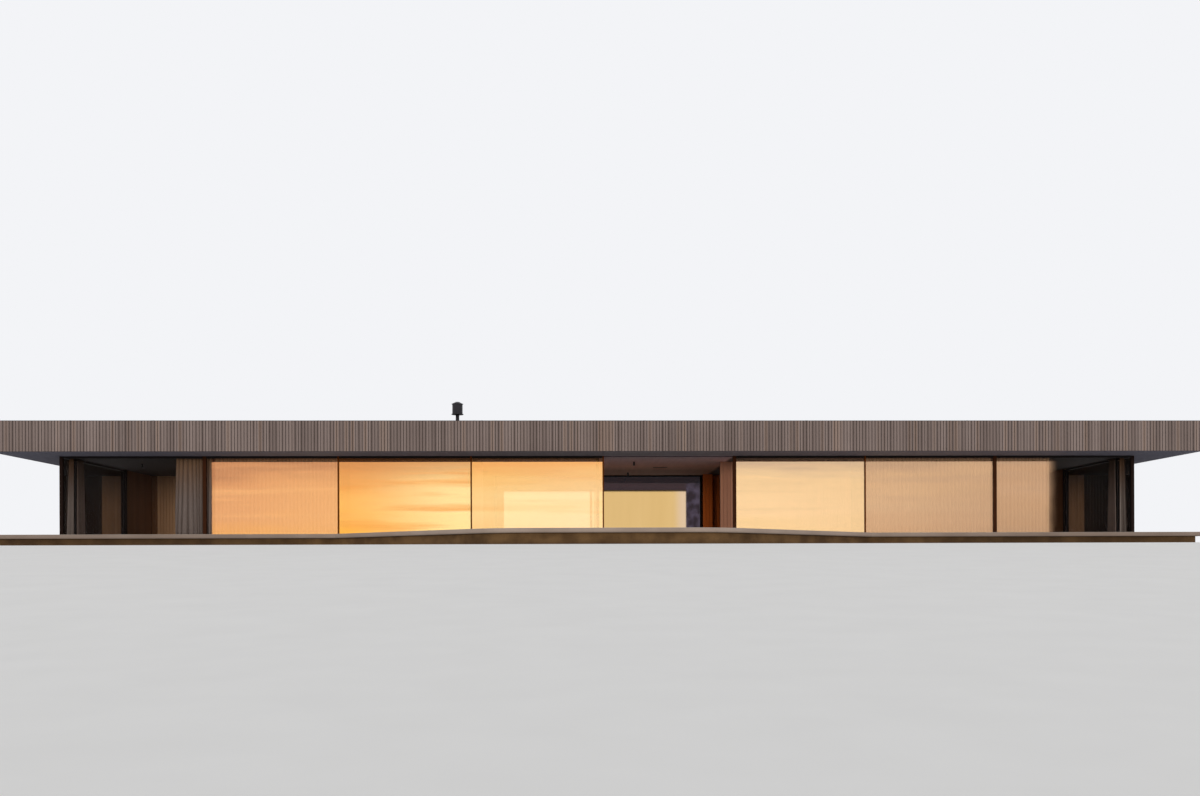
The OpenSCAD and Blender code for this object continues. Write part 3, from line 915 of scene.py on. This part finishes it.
for side, outward in (("left", -1), ("right", 1)):
    node = side + "_side_wall"
    boarded_wall(node + "_boards", *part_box(node), "y", brown, "wall_timber", node)
    node = "gallery_wall_" + side
    boarded_wall(node + "_boards", *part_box(node), "x", gallery, "wall_timber", node)
    node = "living_wall_" + side
    boarded_wall(node + "_boards", *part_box(node), "x", orange, "warm_timber", node)

    node = "rear_wall_" + side
    low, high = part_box(node)
    lining_y = low.y + lining_d
    start, last = sorted((abs(low.x), abs(high.x)))
    for field, end, finish in field_ends:
        end = min(end, last)
        left, right = sorted((outward * start, outward * end))
        corners = (left, low.y, low.z), (right, lining_y, high.z)
        boarded_wall(f"{node}_{field}_lining", *corners, "x", finish, "wall_timber", node)
        start = end
    row_low = Vector((low.x, high.y - batten_d, low.z))
    row = batten_row(node + "_battens", row_low, Vector(high), "x", rng)
    dress(row, weathered["x"], "batten_timber", node)
    board_corners = (low.x, lining_y, low.z), (high.x, high.y - batten_d, high.z)
    board = add_blocks(node + "_backing", [board_corners])
    soften(0.001)
    dress(board, backing, "batten_timber", node)


# Linen curtains
# Heavy natural linen on a ceiling track, gathered into deep pleats: one at each front corner, one
# behind it along the side, and a drawn one at the wide left mullion. The heading is pinched, and the
# cloth spreads to its hem. Its tone near the track is painted shade and warm painted light, the hollows
# of the folds hold painted shade, and the side curtains are the same linen, darker with painted shade.
def hang(
    name, start, end, fold, pleats, top, hem, rng, heading=1.0, anchor=0.5, lean=0.2, uneven=1.0
):
    """A pleated sheet hung between two points in plan, fold deep, with its heading pinched.

    Its ridge attribute is 1 where the cloth comes out to the right of the way from start to end, and
    0 at the bottom of a fold. The heading is the share of the width that the top takes, held in place
    at anchor, and uneven is how much the pleats differ.
    """
    start, end = Vector(start), Vector(end)
    along = (end - start).normalized()
    across = Vector((-along.y, along.x, 0))
    width = (end - start).length
    bpy.ops.object.select_all(action="DESELECT")
    bpy.ops.mesh.primitive_grid_add(x_subdivisions=pleats * 14, y_subdivisions=24, size=1)
    sheet = bpy.context.object
    sheet.name = name
    drift = rng.uniform(-1, 1, 4)
    depth = rng.uniform(1 - 0.28 * uneven, 1.0, pleats + 2)
    ridges = []
    for vertex in sheet.data.vertices:
        u = vertex.co.x + 0.5
        v = 0.5 - vertex.co.y
        own = u * pleats
        slow = 0.3 * math.sin(2.2 * math.pi * u + 3 * drift[0]) + 0.15 * drift[1] * math.sin(9 * u)
        phase = 2 * math.pi * (own + uneven * slow * (0.4 + 0.6 * v))
        share = own % 1
        size = depth[int(own)] * (1 - share) + depth[int(own) + 1] * share
        deep = (0.6 + 0.4 * v) * size
        wave = math.sin(phase) + 0.16 * math.sin(2 * phase + 2 * drift[2] + v)
        spread = heading + (1 - heading) * v ** 0.8
        place = start + along * (width * (anchor + (u - anchor) * spread))
        place += along * (lean * math.sin(2 * phase) * (width * spread / pleats) * deep)
        place += across * (0.42 * fold * deep * wave)
        place.z = top + (hem - top) * v
        vertex.co = place
        ridges.append(0.5 - 0.5 * deep * wave)
    sheet.data.attributes.new("ridge", "FLOAT", "POINT").data.foreach_set("value", ridges)
    cloth = sheet.modifiers.new("cloth", "SOLIDIFY")
    cloth.thickness = 0.0012
    cloth.offset = 0
    bpy.ops.object.modifier_apply(modifier=cloth.name)
    bpy.ops.object.shade_smooth()
    return sheet


def linen_finish(name, low_tones, track_shade_tones):
    """Slubby cloth with a tone near the hem, another near the track, and dark hollows."""
    linen = Finish(name, roughness=0.9, shine=0.2)
    weave = linen.noise(240, stretch=(1, 1, 0.25), detail=2)
    slub = linen.noise(60, stretch=(1, 1, 0.06), detail=3)
    thread = slub * 0.6 + weave * 0.4
    low_tone, high_tone = (thread.mix(*pair) for pair in (low_tones, track_shade_tones))
    # Painted shade and warm painted light near the track.
    tone = linen.z.step(floor_top + 0.5, floor_top + 1.5).mix(low_tone, high_tone)
    # Painted shade in the hollows of the folds.
    fold_painted_shade = 1 - linen.place.node("Attribute", {"attribute_name": "ridge"}, output=2)
    linen.feed("Base Color", (fold_painted_shade.step(0.3, 0.95) * 0.85).mix(tone, rgb(54, 42, 35)))
    linen.bump(weave + slub, 0.0006)
    return linen


corner_linen = linen_finish(
    "corner_linen",
    (rgb(132, 118, 111), rgb(172, 159, 151)),
    (rgb(88, 62, 42), rgb(124, 92, 66)),
)
drawn_linen = linen_finish(
    "drawn_linen",
    (rgb(118, 104, 98), rgb(157, 142, 135)),
    (rgb(112, 85, 64), rgb(152, 118, 91)),
)
# Painted shade: the same linen, darker for the side curtains.
side_linen = linen_finish(
    "side_linen",
    (rgb(106, 89, 81), rgb(140, 121, 112)),
    (rgb(64, 50, 41), rgb(90, 72, 61)),
)
cloth_rng = np.random.default_rng(3)
linen_fold = 0.066
edge_gap = 0.004
track_y = (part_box("linen_curtains_left")[0].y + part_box("sheer_left")[1].y) / 2
corner_w, corner_flat = 0.13, 0.42
side_l, side_flat = 0.3, 0.7
side_back = 0.07
drawn_w, drawn_flat = 0.71, 1.45


def hang_linen(name, node, start, end, pleats, flat_w, linen, **shape):
    low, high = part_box(node)
    curtain = hang(name, start, end, linen_fold, pleats, high.z, low.z, cloth_rng, **shape)
    dress(curtain, linen, "linen", node)


for side, inward in (("left", 1), ("right", -1)):
    node = "linen_curtains_" + side
    low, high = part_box(node)
    edge = low.x if inward > 0 else high.x
    outer = Vector((edge + inward * edge_gap, track_y, 0))
    inner = Vector((edge + inward * (corner_w - edge_gap), track_y, 0))
    tapered = {"heading": 0.64, "anchor": 1.0}
    hang_linen("corner_curtain_" + side, node, outer, inner, 4, corner_flat, corner_linen, **tapered)
    side_x = edge + inward * 0.035
    near = Vector((side_x, high.y - side_back - side_l, 0))
    far = Vector((side_x, high.y - side_back, 0))
    ends = (near, far) if side == "left" else (far, near)
    hang_linen("side_curtain_" + side, node, *ends, 5, side_flat, side_linen, heading=0.8)

drawn_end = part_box("linen_curtains_left")[1].x
hang_linen(
    "drawn_curtain_left",
    "linen_curtains_left",
    Vector((drawn_end - drawn_w + edge_gap, track_y, 0)),
    Vector((drawn_end - edge_gap, track_y, 0)),
    10,
    drawn_flat,
    drawn_linen,
    heading=0.975,
    anchor=1.0,
    uneven=1.9,
)


# Sheer curtains
# Thin pale gold cloth in fine, even folds, drawn right across three bays, with painted shade on the
# folds further back.
sheer = Finish("sheer_cloth", roughness=0.85, shine=0.2)
threads = sheer.noise(180, stretch=(1, 1, 0.2), detail=2)
# Painted shade on the folds that lie further back.
sheer_fold_painted_shade = sheer.y.step(track_y - 0.014, track_y + 0.016)
veil_tone = threads.mix(rgb(214, 176, 134), rgb(232, 196, 152))
sheer.feed("Base Color", (sheer_fold_painted_shade * 0.5).mix(veil_tone, rgb(158, 120, 84)))
sheer.set("Alpha", 0.92)
veil_pitch = 0.073
veil_fold = 0.05
for node in ("sheer_left", "sheer_right", "sheer_right_end"):
    low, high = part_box(node)
    width = high.x - low.x
    start = Vector((low.x + edge_gap, track_y, 0))
    end = Vector((high.x - edge_gap, track_y, 0))
    pleats = round(width / veil_pitch)
    veil = hang(node + "_cloth", start, end, veil_fold, pleats, high.z, low.z, cloth_rng, lean=0.05)
    dress(veil, sheer, "sheer", node)


# Ceiling fittings
# Black cylinder spots with a recessed lens, and an air slot with fine slats in the living room.
ceiling_z = lining_low.z
spot_r, spot_h = 0.02, 0.075
rim, recess = 0.003, 0.016
spots = ((0.65, 1.11), (0.65, 3.56), (-9.3, 1.51))
for number, (x, behind_glass) in enumerate(spots):
    bpy.ops.object.select_all(action="DESELECT")
    middle = (x, glass_front + behind_glass, ceiling_z - spot_h / 2)
    bpy.ops.mesh.primitive_cylinder_add(vertices=32, radius=spot_r, depth=spot_h, location=middle)
    spot = bpy.context.object
    spot.name = f"ceiling_spot_{number + 1}"
    bpy.ops.object.transform_apply(location=True)
    bpy.context.tool_settings.mesh_select_mode = (False, False, True)
    for face in spot.data.polygons:
        face.select = face.normal.z < -0.9
    bpy.ops.object.mode_set(mode="EDIT")
    bpy.ops.mesh.inset(thickness=rim)
    bpy.ops.mesh.extrude_region_move(TRANSFORM_OT_translate={"value": (0, 0, recess)})
    bpy.ops.object.mode_set(mode="OBJECT")
    round_off = spot.modifiers.new("rim", "BEVEL")
    round_off.width = 0.0008
    round_off.limit_method = "ANGLE"
    bpy.ops.object.modifier_apply(modifier=round_off.name)
    bpy.ops.object.shade_smooth_by_angle(angle=math.radians(35))
    dress(spot, matt_black, "dark_metal", "ceiling_fittings")

slot_size = Vector((0.3, 0.04, 0.006))
slot_low = Vector((1.12, glass_front + 2.26, ceiling_z - slot_size.z))
slot_high = slot_low + slot_size
slot_rim = 0.003
slat_half = 0.001
slot_bars = [
    (slot_low, (slot_high.x, slot_low.y + slot_rim, slot_high.z)),
    ((slot_low.x, slot_high.y - slot_rim, slot_low.z), slot_high),
    (slot_low, (slot_low.x + slot_rim, slot_high.y, slot_high.z)),
    ((slot_high.x - slot_rim, slot_low.y, slot_low.z), slot_high),
]
for number in range(1, 5):
    y = slot_low.y + number * slot_size.y / 5
    near_corner = (slot_low.x, y - slat_half, slot_low.z)
    far_corner = (slot_high.x, y + slat_half, slot_high.z)
    slot_bars.append((near_corner, far_corner))
slot = add_blocks("air_slot", slot_bars)
soften(0.0004)
dress(slot, matt_black, "dark_metal", "ceiling_fittings")


# Flue
# Black sheet-metal pipe with a flashing at the roof and a round cowl on top.
flue = Finish("flue_metal", roughness=0.5, metallic=0.5)
flue.feed("Base Color", flue.noise(7).mix(rgb(40, 38, 42), rgb(56, 53, 57)))
flue.bump(flue.noise(120, detail=2), 0.0002)
for node in ("flue_stem", "flue_cowl"):
    pipe = ease(node, 0.0015)
    bpy.ops.object.shade_smooth_by_angle(angle=math.radians(35))
    dress(pipe, flue, "flue_metal", node)
